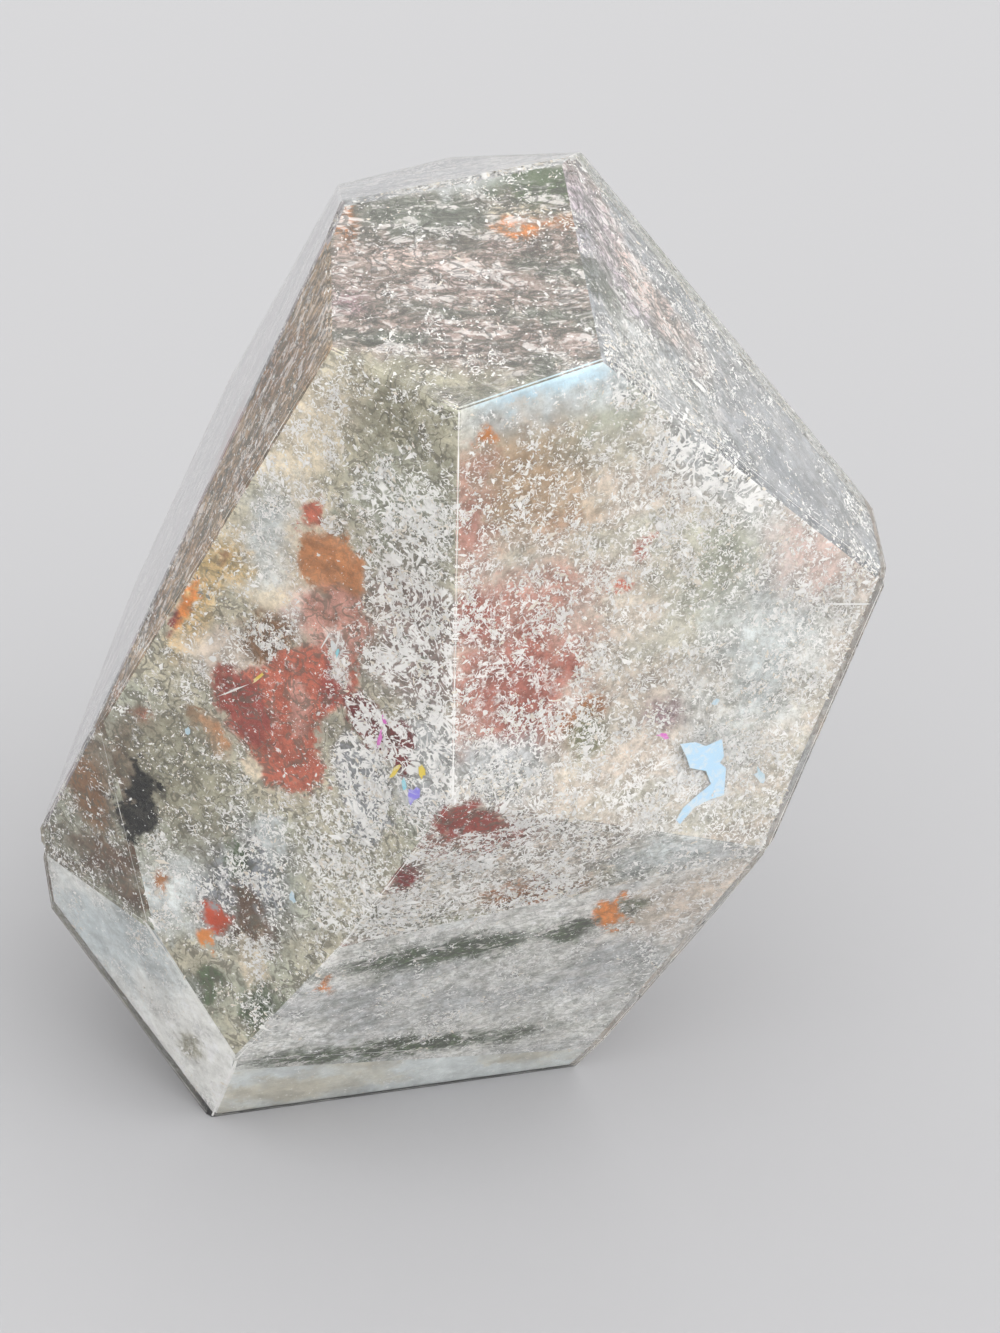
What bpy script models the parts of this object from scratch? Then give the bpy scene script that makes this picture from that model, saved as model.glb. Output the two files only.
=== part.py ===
"""Garden quartz: one free-form crystal, cut with flat facets, polished, and standing on a small flat base."""
import math

import bmesh
import bpy
from mathutils import Matrix, Vector, noise

NAME = "garden_quartz"
MM = 0.001

# Point inside the stone that every facet is measured from, in mm above the base
HEART = Vector((1.6, -1.0, 38.0))

# Name, turn from the front towards the right and lean upwards in degrees, distance from the heart in mm
FACETS = (
    ("front_right", 21.9, -1.2, 24.94),
    ("front_left", -24.6, -0.2, 25.52),
    ("front_top", 4.5, 58.6, 42.2),
    ("shoulder_right", 70.2, 38.7, 35.34),
    ("shoulder_sliver", 75.6, 35.8, 35.63),
    ("belly_upper", 13.6, -21.6, 24.42),
    ("belly_lower", 14.2, -25.3, 24.77),
    ("foot_front", 13.0, -31.2, 27.13),
    ("foot_left", -42.3, -11.9, 32.49),
    ("cheek_left", -40.3, -3.1, 30.09),
    ("corner_left", -97.8, 1.3, 33.67),
    ("side_left", -93.7, 25.5, 25.92),
    ("sliver_left", -72.1, 23.9, 29.7),
    ("crown", 36.1, 106.5, 39.4),
    ("side_right", 107.5, -21.7, 20.06),
    ("foot_right", 84.3, -28.1, 26.99),
    ("back_upper_right", 131.9, 29.0, 23.41),
    ("back_upper_left", -141.3, 46.0, 33.38),
    ("back_lower_left", -111.9, -42.1, 37.22),
    ("back", 175.9, -12.0, 24.52),
    ("base", 0.0, -90.0, 38.0),
)

# Rounding of the edges: a fine polished line everywhere, wider where the crown is worn
EDGE_ROUND = 0.3
CROWN_ROUND = 1.4
EDGE_SEGMENTS = 2
WORN_EDGES = (
    {"crown", "shoulder_right"},
    {"crown", "back_upper_right"},
    {"crown", "back_upper_left"},
    {"crown", "side_left"},
    {"side_left", "back_upper_left"},
)

# Chips, as the facets whose corner they sit on, their reach along X, Y and Z, and their depth, in mm
CHIPS = (
    ("brow", ("front_left", "front_top", "front_right"), (1.0, 1.0, 2.2), 0.45),
    ("elbow", ("front_right", "shoulder_right", "side_right"), (1.6, 1.6, 2.4), 0.55),
    ("hip", ("front_right", "belly_upper", "side_right"), (1.4, 1.4, 1.6), 0.4),
    ("cheek", ("cheek_left", "foot_left", "corner_left"), (1.2, 1.6, 1.0), 0.4),
    ("jaw", ("front_left", "cheek_left", "foot_left"), (1.0, 0.8, 2.6), 0.3),
    ("toe", ("foot_front", "foot_right", "base"), (1.4, 1.4, 1.0), 0.4),
    ("heel", ("back", "side_right", "base"), (1.8, 1.6, 1.2), 0.5),
)
CHIP_ROUGHNESS = 0.28

# Pale grey-beige of the stone as a whole
STONE_COLOUR = (0.55, 0.50, 0.46, 1.0)
QUARTZ_IOR = 1.544


def clear_scene():
    for obj in list(bpy.data.objects):
        bpy.data.objects.remove(obj, do_unlink=True)


def collection(name):
    group = bpy.data.collections.new(name)
    bpy.context.scene.collection.children.link(group)
    return group


def facet_plane(name):
    """Outward direction of a facet, and a point on it in mm."""
    turn, lean, distance = next(row[1:] for row in FACETS if row[0] == name)
    turn, lean = math.radians(turn), math.radians(lean)
    outward = Vector((math.sin(turn) * math.cos(lean), -math.cos(turn) * math.cos(lean), math.sin(lean)))
    return outward, HEART + outward * distance


def corner(names):
    """Point in mm where three facets meet."""
    planes = [facet_plane(name) for name in names]
    rows = Matrix([outward for outward, _ in planes])
    return rows.inverted() @ Vector([outward.dot(point) for outward, point in planes])


def facet_of(face):
    return max(FACETS, key=lambda row: face.normal.dot(facet_plane(row[0])[0]))[0]


def cut_stone():
    """A block with each facet sawn off it in turn."""
    bm = bmesh.new()
    bmesh.ops.create_cube(bm, size=200 * MM, matrix=Matrix.Translation(HEART * MM))
    for name, *_ in FACETS:
        outward, point = facet_plane(name)
        everything = bm.verts[:] + bm.edges[:] + bm.faces[:]
        cut = bmesh.ops.bisect_plane(
            bm, geom=everything, dist=1e-7, plane_co=point * MM, plane_no=outward, clear_outer=True)
        rim = [item for item in cut["geom_cut"] if isinstance(item, bmesh.types.BMEdge)]
        bmesh.ops.contextual_create(bm, geom=rim)
    bmesh.ops.recalc_face_normals(bm, faces=bm.faces)
    return bm


def mark_worn_edges(bm):
    """Bevel weights: 1 on the worn edges, and less on the rest."""
    weight = bm.edges.layers.float.new("bevel_weight_edge")
    for edge in bm.edges:
        pair = {facet_of(face) for face in edge.link_faces}
        edge[weight] = 1.0 if pair in WORN_EDGES else EDGE_ROUND / CROWN_ROUND


def stone_material():
    mat = bpy.data.materials.new("quartz")
    mat.use_nodes = True
    shader = mat.node_tree.nodes["Principled BSDF"]
    shader.inputs["Base Color"].default_value = STONE_COLOUR
    shader.inputs["Metallic"].default_value = 0.0
    shader.inputs["Roughness"].default_value = 0.08
    shader.inputs["IOR"].default_value = QUARTZ_IOR
    shader.inputs["Transmission Weight"].default_value = 0.4
    mat.diffuse_color = STONE_COLOUR
    return mat


def make_stone(group):
    bm = cut_stone()
    mark_worn_edges(bm)
    mesh = bpy.data.meshes.new(NAME)
    bm.to_mesh(mesh)
    bm.free()
    mesh.materials.append(stone_material())
    stone = bpy.data.objects.new(NAME, mesh)
    group.objects.link(stone)
    bevel = stone.modifiers.new("polished edges", "BEVEL")
    bevel.limit_method = "WEIGHT"
    bevel.width = CROWN_ROUND * MM
    bevel.segments = EDGE_SEGMENTS
    return stone


def make_chip(group, name, corner_facets, reach, depth):
    """A rough lump whose surface passes the given depth below a corner of the stone."""
    bm = bmesh.new()
    bmesh.ops.create_icosphere(bm, subdivisions=2, radius=1.0)
    start = corner(corner_facets)
    outward = (start - HEART).normalized()
    for vert in bm.verts:
        swell = 1.0 + CHIP_ROUGHNESS * noise.noise(vert.co * 1.7 + start)
        vert.co = Vector([swell * length * value for length, value in zip(reach, vert.co)])
    inner = min(vert.co.dot(outward) for vert in bm.verts)
    centre = start - outward * (depth + inner)
    bmesh.ops.transform(bm, matrix=Matrix.Translation(centre), verts=bm.verts)
    bmesh.ops.scale(bm, vec=(MM, MM, MM), verts=bm.verts)
    mesh = bpy.data.meshes.new("chip_" + name)
    bm.to_mesh(mesh)
    bm.free()
    chip = bpy.data.objects.new("chip_" + name, mesh)
    chip.hide_render = True
    chip.display_type = "WIRE"
    group.objects.link(chip)
    return chip


def strike_chips(stone, group):
    for name, corner_facets, reach, depth in CHIPS:
        cut = stone.modifiers.new("chip " + name, "BOOLEAN")
        cut.operation = "DIFFERENCE"
        cut.solver = "EXACT"
        cut.object = make_chip(group, name, corner_facets, reach, depth)


def main():
    clear_scene()
    stone = make_stone(collection(NAME))
    strike_chips(stone, collection("cutters"))


main()
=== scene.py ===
import math
from collections import namedtuple
from itertools import combinations

import bmesh
import bpy
import numpy as np
from mathutils import Matrix, Vector
from mathutils.bvhtree import BVHTree
from mathutils.geometry import delaunay_2d_cdt


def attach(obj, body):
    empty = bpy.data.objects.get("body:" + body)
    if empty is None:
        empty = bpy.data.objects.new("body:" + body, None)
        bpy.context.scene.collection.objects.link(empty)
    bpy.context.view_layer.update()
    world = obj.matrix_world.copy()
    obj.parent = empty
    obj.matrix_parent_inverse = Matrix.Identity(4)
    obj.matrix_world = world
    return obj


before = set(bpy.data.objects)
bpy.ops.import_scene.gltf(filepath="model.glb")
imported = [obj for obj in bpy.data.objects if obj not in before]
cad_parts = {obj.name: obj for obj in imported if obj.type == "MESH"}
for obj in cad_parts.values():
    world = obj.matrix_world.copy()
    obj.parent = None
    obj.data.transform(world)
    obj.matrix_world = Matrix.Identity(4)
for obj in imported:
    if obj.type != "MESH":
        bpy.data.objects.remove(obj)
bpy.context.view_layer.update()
MM = 0.001

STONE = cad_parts["garden_quartz"]
HEART = Vector((1.6, -1.0, 38.0)) * MM
QUARTZ_IOR = 1.544

# The photograph's frame, and a camera that looks down on the stone from the front
PHOTO_WIDTH, PHOTO_HEIGHT = 1000, 1333
CAMERA_LEAN = math.radians(27)
CAMERA_REACH = 260 * MM
PIXEL = 0.083 * MM
AIM_PIXEL = (470, 640)
SENSOR_MM = 36.0

rng = np.random.default_rng(11)


# Camera

def make_camera():
    data = bpy.data.cameras.new("camera")
    camera = bpy.data.objects.new("camera", data)
    bpy.context.scene.collection.objects.link(camera)
    bpy.context.scene.camera = camera
    back = Vector((0, -math.cos(CAMERA_LEAN), math.sin(CAMERA_LEAN)))
    up = Vector((0, math.sin(CAMERA_LEAN), math.cos(CAMERA_LEAN)))
    right = Vector((1, 0, 0))
    place = HEART + back * CAMERA_REACH
    middle = HEART + right * (PHOTO_WIDTH / 2 - AIM_PIXEL[0]) * PIXEL
    middle -= up * (PHOTO_HEIGHT / 2 - AIM_PIXEL[1]) * PIXEL
    camera.location = place
    camera.rotation_mode = "QUATERNION"
    camera.rotation_quaternion = (place - middle).to_track_quat("Z", "Y")
    data.sensor_width = SENSOR_MM
    data.lens = SENSOR_MM * CAMERA_REACH / (PIXEL * PHOTO_HEIGHT)
    data.clip_start = 10 * MM
    data.clip_end = 20.0
    bpy.context.view_layer.update()
    return camera


CAMERA = make_camera()


def sight(pixel):
    """Direction in which the camera sees a pixel of the photograph."""
    across = (pixel[0] - PHOTO_WIDTH / 2) * PIXEL / CAMERA_REACH
    down = (pixel[1] - PHOTO_HEIGHT / 2) * PIXEL / CAMERA_REACH
    return (CAMERA.matrix_world.to_quaternion() @ Vector((across, -down, -1))).normalized()


def bent(direction, outward, ior):
    """A ray's direction after it enters the stone."""
    lean = -direction.dot(outward)
    inner = math.sqrt(1 - (1 - lean * lean) / ior ** 2)
    return (direction / ior + outward * (lean / ior - inner)).normalized()


SURFACE = BVHTree.FromObject(STONE, bpy.context.evaluated_depsgraph_get())


def seen(pixel, depth):
    """The point that shows at a pixel of the photograph, at a depth in mm behind the stone's surface."""
    direction = sight(pixel)
    place, outward, _, _ = SURFACE.ray_cast(CAMERA.location, direction)
    if place is None:
        raise ValueError(f"the pixel {pixel} misses the stone")
    return place + bent(direction, outward, QUARTZ_IOR) * depth * MM


# Random fields, worked out for many points at once

def scattered(cells, seed):
    """A fixed random number from 0 to 1 for each whole-numbered cell."""
    n = cells[:, 0] * 73856093 ^ cells[:, 1] * 19349663 ^ cells[:, 2] * 83492791 ^ seed * 15485863
    n = (n ^ n >> 13) * 1274126177 & 0x7FFFFFFF
    n = (n ^ n >> 15) * 668265263 & 0x7FFFFFFF
    return (n ^ n >> 14) % 65536 / 65535


def smooth_noise(points, size, seed):
    """A soft random field from -1 to 1, with lumps of about this size in mm."""
    at = points / (np.asarray(size) * MM)
    cell = np.floor(at).astype(np.int64)
    part = at - cell
    part = part * part * (3 - 2 * part)
    total = np.zeros(len(points))
    for step in np.ndindex(2, 2, 2):
        weight = np.prod(np.where(step, part, 1 - part), axis=1)
        total += weight * scattered(cell + np.array(step), seed)
    return 2 * total - 1


def cloud(points, size, seed, octaves=4):
    """Lumps with smaller lumps on them."""
    total, weight, whole = 0.0, 1.0, 0.0
    for octave in range(octaves):
        total = total + weight * smooth_noise(points, np.asarray(size) / 2 ** octave, seed + octave)
        whole += weight
        weight *= 0.55
    return total / whole


def ramp(values, low, high):
    part = np.clip((values - low) / (high - low), 0, 1)
    return part * part * (3 - 2 * part)


# The stone's facets, read from the frame. Anything smaller than this is a bevel or a chip
LEAST_FACET = 50 * MM * MM


def facet_planes():
    """Outward directions and distances from the heart of the stone's flats, without its bevels and chips."""
    totals = {}
    for face in STONE.data.polygons:
        key = tuple(round(value, 2) for value in face.normal)
        totals.setdefault(key, []).append(face)
    outwards, distances = [], []
    for faces in totals.values():
        if sum(face.area for face in faces) > LEAST_FACET:
            main = max(faces, key=lambda face: face.area)
            outwards.append(main.normal)
            distances.append((main.center - HEART).dot(main.normal))
    return np.array(outwards), np.array(distances)


OUTWARDS, DISTANCES = facet_planes()


# How the inclusions look behind each facet: the facet's turn to the right and lean upwards in degrees, the
# clear rim in mm, two colours, kind of grain, and direction of the streaks
Look = namedtuple("Look", "turn lean rim main second grain streak")
ACROSS, TO_RIGHT, TO_LEFT, NONE = (1, 0, 0), (0, 1, 0), (0, 0, 1), (0, 0, 0)
LOOKS = (
    Look(4.5, 58.6, 0.5, "dusky", "slate", "streaked", ACROSS),
    Look(70.2, 38.7, 0.8, "steel", "fog", "lined", TO_RIGHT),
    Look(21.9, -1.2, 0.5, "beige", "grey_beige", "frosty", NONE),
    Look(-24.6, -0.2, 0.5, "sand", "grey_green", "specked", NONE),
    Look(13.6, -21.6, 0.5, "beige", "sand", "flecked", ACROSS),
    # The next three facets face down: they are painted pale, partly for their milky inclusions and partly as
    # painted light that the stone lets through to them
    Look(14.2, -25.3, 0.6, "white", "silver", "dashed", ACROSS),
    Look(13.0, -31.2, 0.4, "pale_grey", "grey_beige", "calm", NONE),
    Look(-42.3, -11.9, 0.5, "white", "white", "clear", NONE),
    Look(-40.3, -3.1, 0.6, "grey_green", "umber", "specked", NONE),
    Look(-97.8, 1.3, 0.5, "umber", "sand", "specked", TO_LEFT),
    Look(-93.7, 25.5, 0.5, "dim_lilac", "dim_steel", "lined", TO_LEFT),
    Look(-72.1, 23.9, 0.5, "tan", "brown", "streaked", TO_LEFT),
    Look(-143.9, 73.5, 0.6, "fog", "silver", "frosty", NONE),
    Look(131.9, 29.0, 1.2, "silver", "grey_green", "coarse", NONE),
    Look(-141.3, 46.0, 1.2, "silver", "moss", "coarse", NONE),
    Look(107.5, -21.7, 0.6, "beige", "silver", "frosty", NONE),
    Look(175.9, -12.0, 1.2, "sand", "soft_rust", "coarse", NONE),
    Look(0.0, -90.0, 0.4, "silver", "pale_grey", "calm", NONE),
)
LOOK_ELSEWHERE = Look(0, -90, 1.0, "sand", "grey_green", "coarse", NONE)

# Kinds of grain: how much frost, dark grain, calm and streaks
GRAINS = {
    "bold": (1.0, 0.5, 0.0, 0.0),
    "frosty": (0.5, 0.1, 0.0, 0.0),
    "coarse": (0.55, 0.7, 0.0, 0.0),
    "specked": (0.2, 1.0, 0.0, 0.0),
    "flecked": (0.7, 0.7, 0.0, 0.5),
    "mottled": (0.05, 0.9, 0.0, 0.0),
    "streaked": (0.1, 0.3, 0.0, 0.9),
    "dashed": (0.2, 0.3, 0.2, 0.35),
    "lined": (0.35, 0.2, 0.2, 0.4),
    "dusted": (0.35, 0.1, 0.4, 0.0),
    "hazy": (0.1, 0.1, 0.5, 0.1),
    "clear": (0.2, 0.05, 0.8, 0.0),
    "bare": (-0.2, 0.3, 0.1, 0.0),
    "calm": (-0.6, 0.0, 1.0, 0.0),
}


# Cosine of the widest angle between a look's direction and its facet's
SAME_WAY = 0.9996


def look_of(outward):
    """The look of the facet that faces this way."""
    for look in LOOKS:
        turn, lean = math.radians(look.turn), math.radians(look.lean)
        facing = (math.sin(turn) * math.cos(lean), -math.cos(turn) * math.cos(lean), math.sin(lean))
        if np.dot(facing, outward) > SAME_WAY:
            return look
    return LOOK_ELSEWHERE


FACET_LOOKS = [look_of(outward) for outward in OUTWARDS]
RIMS = np.array([look.rim for look in FACET_LOOKS]) * MM


def depths(points, rims=0.0):
    """How deep each point lies below each facet, or below its clear rim, in metres."""
    return DISTANCES - rims - (points - np.array(HEART)) @ OUTWARDS.T


# The cloud of inclusions: its surface sinks from the clear rim into hollows, and keeps to the stone's edges.
# Depths and reach are in mm
CLOUD_RELIEF = 2.0
CRUMB_RELIEF = 0.2
EDGE_REACH = 3.5


def relief(points):
    """How far the cloud's surface sinks below the clear rim at these points, in metres."""
    two = np.partition(depths(points, RIMS), 1, axis=1)[:, :2]
    open_part = ramp(two[:, 1] - two[:, 0], 0, EDGE_REACH * MM)
    hollows = ramp(cloud(points, 8.0, 21, octaves=5), -0.1, 0.6)
    crumbs = 0.5 + 0.5 * cloud(points, 1.6, 41, octaves=3)
    return MM * (CLOUD_RELIEF * hollows * open_part + CRUMB_RELIEF * crumbs * (0.3 + 0.7 * open_part))


def srgb(*levels):
    """Linear colour from levels of 0 to 255."""
    values = np.array(levels) / 255
    return np.where(values <= 0.04045, values / 12.92, ((values + 0.055) / 1.055) ** 2.4)


COLOURS = {
    "white": srgb(243, 243, 240),
    "cream": srgb(236, 224, 202),
    "beige": srgb(232, 219, 206),
    "grey_beige": srgb(210, 206, 192),
    "sand": srgb(202, 196, 176),
    "tan": srgb(190, 164, 136),
    "pink": srgb(228, 206, 198),
    "mauve": srgb(176, 150, 154),
    "lilac": srgb(204, 192, 202),
    "dim_lilac": srgb(184, 172, 179),
    "rose": srgb(200, 150, 136),
    "dusky": srgb(172, 153, 146),
    "slate": srgb(134, 138, 128),
    "steel": srgb(156, 160, 166),
    "dim_steel": srgb(144, 145, 150),
    "silver": srgb(208, 210, 211),
    "fog": srgb(166, 168, 172),
    "pale_grey": srgb(224, 229, 229),
    "grey_blue": srgb(208, 215, 217),
    "sky": srgb(196, 220, 232),
    "grey_green": srgb(190, 192, 176),
    "olive_grey": srgb(172, 168, 148),
    "olive": srgb(146, 146, 114),
    "moss": srgb(96, 110, 84),
    "umber": srgb(116, 94, 78),
    "brown": srgb(150, 114, 84),
    "rust": srgb(200, 114, 92),
    "soft_rust": srgb(184, 114, 100),
    "deep_rust": srgb(160, 80, 70),
    "dark_rust": srgb(132, 56, 54),
    "vermilion": srgb(204, 84, 52),
    "orange": srgb(228, 146, 78),
    "orange_brown": srgb(192, 132, 88),
    "yellow": srgb(230, 202, 150),
    "black": srgb(24, 24, 22),
}

# Patches of colour, each behind one facet: colour, photo pixel of the middle, half width and half height in
# photo pixels, turn in degrees, softness of the edge, and kind of grain, where it differs from the facet's
PATCHES = (
    # Front top
    ("silver", (458, 182), (120, 9), 8, 1.2, "hazy"),
    ("slate", (420, 215), (104, 18), -3, 1.0, None),
    ("moss", (548, 184), (46, 20), 0, 0.9, None),
    ("pink", (424, 262), (60, 11), -3, 0.7, None),
    ("cream", (540, 214), (44, 5), -4, 0.7, None),
    ("orange", (518, 228), (22, 7), -4, 0.6, "dashed"),
    ("orange_brown", (562, 221), (26, 7), -2, 0.6, "dashed"),
    ("orange_brown", (347, 222), (10, 22), 0, 0.7, None),
    ("slate", (560, 268), (46, 9), -3, 1.0, None),
    ("mauve", (348, 302), (16, 9), 0, 0.8, None),
    ("slate", (440, 308), (40, 10), -4, 1.0, None),
    ("slate", (540, 314), (40, 9), -4, 1.0, None),
    ("slate", (385, 338), (46, 8), -4, 1.0, None),
    ("dusky", (560, 340), (50, 9), -6, 0.8, None),
    ("olive_grey", (400, 374), (120, 18), -6, 0.9, "specked"),
    # Shoulder
    ("steel", (640, 300), (26, 110), 30, 1.0, "streaked"),
    ("dusky", (600, 220), (12, 60), 24, 0.9, "streaked"),
    ("lilac", (612, 262), (16, 80), 26, 0.9, "streaked"),
    ("slate", (620, 318), (10, 60), 22, 0.9, "streaked"),
    ("silver", (662, 372), (18, 60), 42, 1.0, "lined"),
    ("pink", (655, 305), (14, 64), 38, 0.8, "streaked"),
    ("fog", (796, 470), (34, 84), 44, 1.2, "hazy"),
    ("steel", (790, 478), (7, 60), 44, 1.0, "hazy"),
    # Front left
    ("olive_grey", (405, 425), (64, 70), 0, 0.9, "specked"),
    ("cream", (300, 440), (40, 90), -25, 0.9, "frosty"),
    ("cream", (318, 520), (22, 44), 0, 0.9, "frosty"),
    ("grey_green", (402, 530), (48, 60), 0, 0.9, "bold"),
    ("dusky", (414, 640), (46, 84), 0, 0.8, "bold"),
    ("cream", (262, 560), (60, 60), -35, 0.9, "dusted"),
    ("pale_grey", (264, 530), (24, 50), -22, 0.9, "frosty"),
    ("yellow", (216, 562), (32, 24), 35, 0.9, "coarse"),
    ("yellow", (196, 612), (17, 46), -28, 0.7, "coarse"),
    ("orange", (186, 604), (6, 26), -30, 0.4, "bare"),
    ("dark_rust", (172, 622), (4, 14), -20, 0.3, "bare"),
    ("beige", (238, 655), (46, 26), 0, 0.9, "dusted"),
    ("brown", (222, 558), (8, 6), 0, 0.5, "bare"),
    ("brown", (270, 638), (26, 20), 0, 0.7, "coarse"),
    ("pink", (304, 612), (16, 20), 0, 0.8, "dusted"),
    ("rust", (313, 513), (12, 12), 0, 0.3, "bare"),
    ("brown", (194, 714), (12, 9), -30, 0.25, "bare"),
    ("orange_brown", (215, 738), (11, 20), 24, 0.5, "bare"),
    ("rust", (143, 716), (10, 9), 0, 0.4, "bare"),
    ("silver", (425, 770), (30, 60), 10, 0.9, "bold"),
    ("grey_green", (190, 850), (90, 130), -20, 0.9, "coarse"),
    ("sand", (360, 890), (50, 90), 30, 1.0, "flecked"),
    ("steel", (240, 880), (60, 60), 10, 0.9, "coarse"),
    ("grey_blue", (140, 935), (54, 62), -30, 0.9, "dusted"),
    ("umber", (130, 858), (26, 18), 0, 0.8, "specked"),
    ("umber", (150, 770), (56, 56), -20, 0.8, "specked"),
    ("olive_grey", (180, 780), (50, 70), 0, 0.9, "specked"),
    ("brown", (88, 795), (26, 50), 20, 0.8, "specked"),
    ("pale_grey", (150, 900), (40, 50), -30, 0.8, "frosty"),
    ("vermilion", (216, 918), (10, 16), 20, 0.25, "calm"),
    ("orange", (206, 940), (8, 9), 0, 0.25, "calm"),
    ("orange_brown", (160, 882), (8, 14), 0, 0.5, "coarse"),
    ("umber", (250, 925), (22, 34), 20, 0.8, "coarse"),
    ("cream", (254, 962), (12, 28), 0, 0.6, "frosty"),
    ("moss", (256, 1008), (18, 26), 14, 0.7, "coarse"),
    ("slate", (200, 990), (24, 24), 0, 0.8, "coarse"),
    # Front right
    ("grey_green", (565, 430), (130, 40), 12, 1.0, "dusted"),
    # The next two rows paint the pale blue band under the top right edge: a painted sheen of light reflected
    # inside the stone
    ("grey_blue", (540, 400), (90, 22), 18, 1.0, "hazy"),
    ("sky", (536, 384), (84, 11), 18, 0.8, "calm"),
    ("tan", (520, 495), (76, 50), 0, 1.3, None),
    ("orange", (488, 438), (10, 5), 0, 0.7, None),
    ("rose", (470, 530), (20, 60), 0, 1.2, None),
    ("grey_green", (715, 555), (44, 54), 0, 1.3, "dusted"),
    ("silver", (700, 455), (80, 30), -38, 1.1, "bold"),
    ("pale_grey", (770, 650), (60, 150), -24, 1.2, "frosty"),
    ("pink", (830, 560), (46, 40), -30, 1.3, "dusted"),
    ("rose", (515, 660), (64, 96), 0, 1.2, None),
    ("soft_rust", (525, 690), (44, 46), 25, 1.1, None),
    ("soft_rust", (478, 622), (20, 30), 0, 1.0, None),
    ("orange_brown", (584, 712), (28, 11), 30, 0.8, None),
    ("rust", (622, 585), (9, 4), 30, 0.4, None),
    ("rust", (643, 545), (7, 14), -30, 0.5, None),
    ("mauve", (660, 712), (20, 16), 0, 0.9, None),
    ("olive", (588, 742), (14, 24), -30, 1.0, None),
    ("silver", (500, 775), (50, 26), 0, 1.0, "coarse"),
    # Belly
    ("soft_rust", (490, 838), (40, 14), 10, 1.1, None),
    ("dark_rust", (404, 876), (16, 16), -30, 0.7, "specked"),
    ("rose", (440, 850), (28, 18), -30, 0.8, None),
    ("orange_brown", (508, 900), (34, 9), -4, 0.5, None),
    ("rust", (346, 950), (8, 5), 0, 0.3, None),
    ("olive", (470, 925), (100, 14), -6, 1.0, None),
    ("pale_grey", (680, 855), (80, 24), 14, 1.0, "lined"),
    # Belly bottom
    ("beige", (710, 890), (90, 34), 24, 0.9, "frosty"),
    ("silver", (730, 866), (60, 34), 24, 0.9, "frosty"),
    ("moss", (450, 952), (130, 10), 8, 1.1, "streaked"),
    ("moss", (590, 922), (50, 7), 18, 1.1, "streaked"),
    ("moss", (400, 1048), (180, 9), 5, 1.1, "streaked"),
    ("orange", (325, 987), (6, 6), 0, 0.5, None),
    ("orange", (612, 918), (12, 8), 0, 0.3, "bare"),
    # Foot left
    ("olive_grey", (188, 1046), (10, 14), 30, 1.0, "specked"),
    ("grey_blue", (90, 930), (26, 60), 36, 1.2, "clear"),
    # Side left
    ("dark_rust", (226, 440), (11, 42), -27, 1.1, "mottled"),
)

# Bodies with their own outline: colour, kind of grain, softness of the edge in photo pixels, and outline
BODIES = (
    ("orange_brown", "flecked", 12, (
        (496, 892), (545, 876), (586, 884), (580, 900), (536, 908), (504, 904))),
    ("rust", "mottled", 5, (
        (366, 575), (367, 640), (361, 684), (344, 702), (330, 712), (321, 722), (320, 786), (300, 792),
        (268, 787), (250, 772), (238, 750), (225, 730), (212, 700), (207, 672), (216, 662), (232, 670),
        (258, 668), (276, 654), (300, 650), (318, 640), (328, 610), (335, 585), (350, 572))),
    ("orange_brown", "bare", 5, (
        (296, 545), (305, 535), (330, 533), (352, 545), (366, 560), (369, 590), (352, 606), (332, 596),
        (312, 588), (298, 575))),
    ("rose", "mottled", 12, (
        (300, 592), (340, 584), (366, 590), (368, 640), (350, 668), (328, 656), (310, 648), (298, 620))),
    ("deep_rust", "mottled", 9, (
        (212, 668), (236, 668), (262, 690), (270, 726), (262, 756), (246, 750), (226, 728), (212, 698))),
    ("deep_rust", "mottled", 8, ((322, 655), (346, 662), (350, 690), (334, 704), (318, 700), (326, 680))),
    ("rose", "mottled", 5, ((288, 684), (302, 676), (310, 700), (306, 744), (293, 744), (289, 712))),
    ("pink", "bold", 5, ((326, 632), (341, 630), (350, 664), (345, 690), (332, 676))),
    ("dark_rust", "bold", 4, (
        (344, 700), (362, 690), (378, 712), (398, 722), (414, 735), (410, 752), (416, 768), (398, 772),
        (378, 760), (362, 745), (350, 722))),
    ("fog", "bold", 5, (
        (340, 730), (356, 728), (366, 745), (380, 760), (392, 790), (384, 830), (372, 850), (356, 842),
        (350, 815), (338, 790), (330, 756))),
    ("black", "bare", 3, (
        (128, 750), (141, 765), (153, 778), (159, 792), (154, 806), (157, 818), (152, 832), (138, 836),
        (133, 850), (124, 838), (116, 818), (112, 806), (125, 798), (131, 786), (128, 768))),
    ("moss", "coarse", 5, ((221, 838), (238, 832), (250, 846), (246, 872), (230, 880), (222, 862))),
    ("moss", "specked", 4, ((196, 968), (214, 962), (226, 980), (216, 1000), (204, 1010), (198, 990))),
    ("pale_grey", "dusted", 3, (
        (258, 812), (272, 810), (284, 826), (286, 850), (276, 868), (262, 860), (254, 838))),
    ("cream", "bare", 2, ((237, 760), (252, 756), (262, 768), (260, 777), (244, 774))),
    ("umber", "specked", 5, (
        (234, 878), (250, 882), (264, 908), (258, 940), (246, 964), (236, 938), (240, 908))),
    ("cream", "frosty", 3, ((240, 930), (250, 934), (260, 960), (256, 986), (246, 990), (238, 960))),
    ("deep_rust", "mottled", 5, (
        (437, 815), (455, 806), (480, 806), (508, 818), (498, 832), (470, 834), (448, 842), (436, 830))),
    ("orange", "bare", 2, (
        (594, 905), (604, 900), (612, 903), (624, 892), (629, 899), (618, 908), (620, 920), (610, 931),
        (602, 928), (604, 918), (594, 914))),
)

# Half depth of a patch, and how deep its middle lies, in mm
PATCH_DEPTH = 6.0
PATCH_COVER = 1.0

# How much the frost varies from place to place
FROST_SWELL = 0.25

# Directions of the streaks: across the front, along the right shoulder, down the left side
STREAKS = (Vector((1.0, 0.0, 0.10)), Vector((0.62, -0.15, -0.77)), Vector((-0.42, 0.08, -0.90)))


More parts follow.
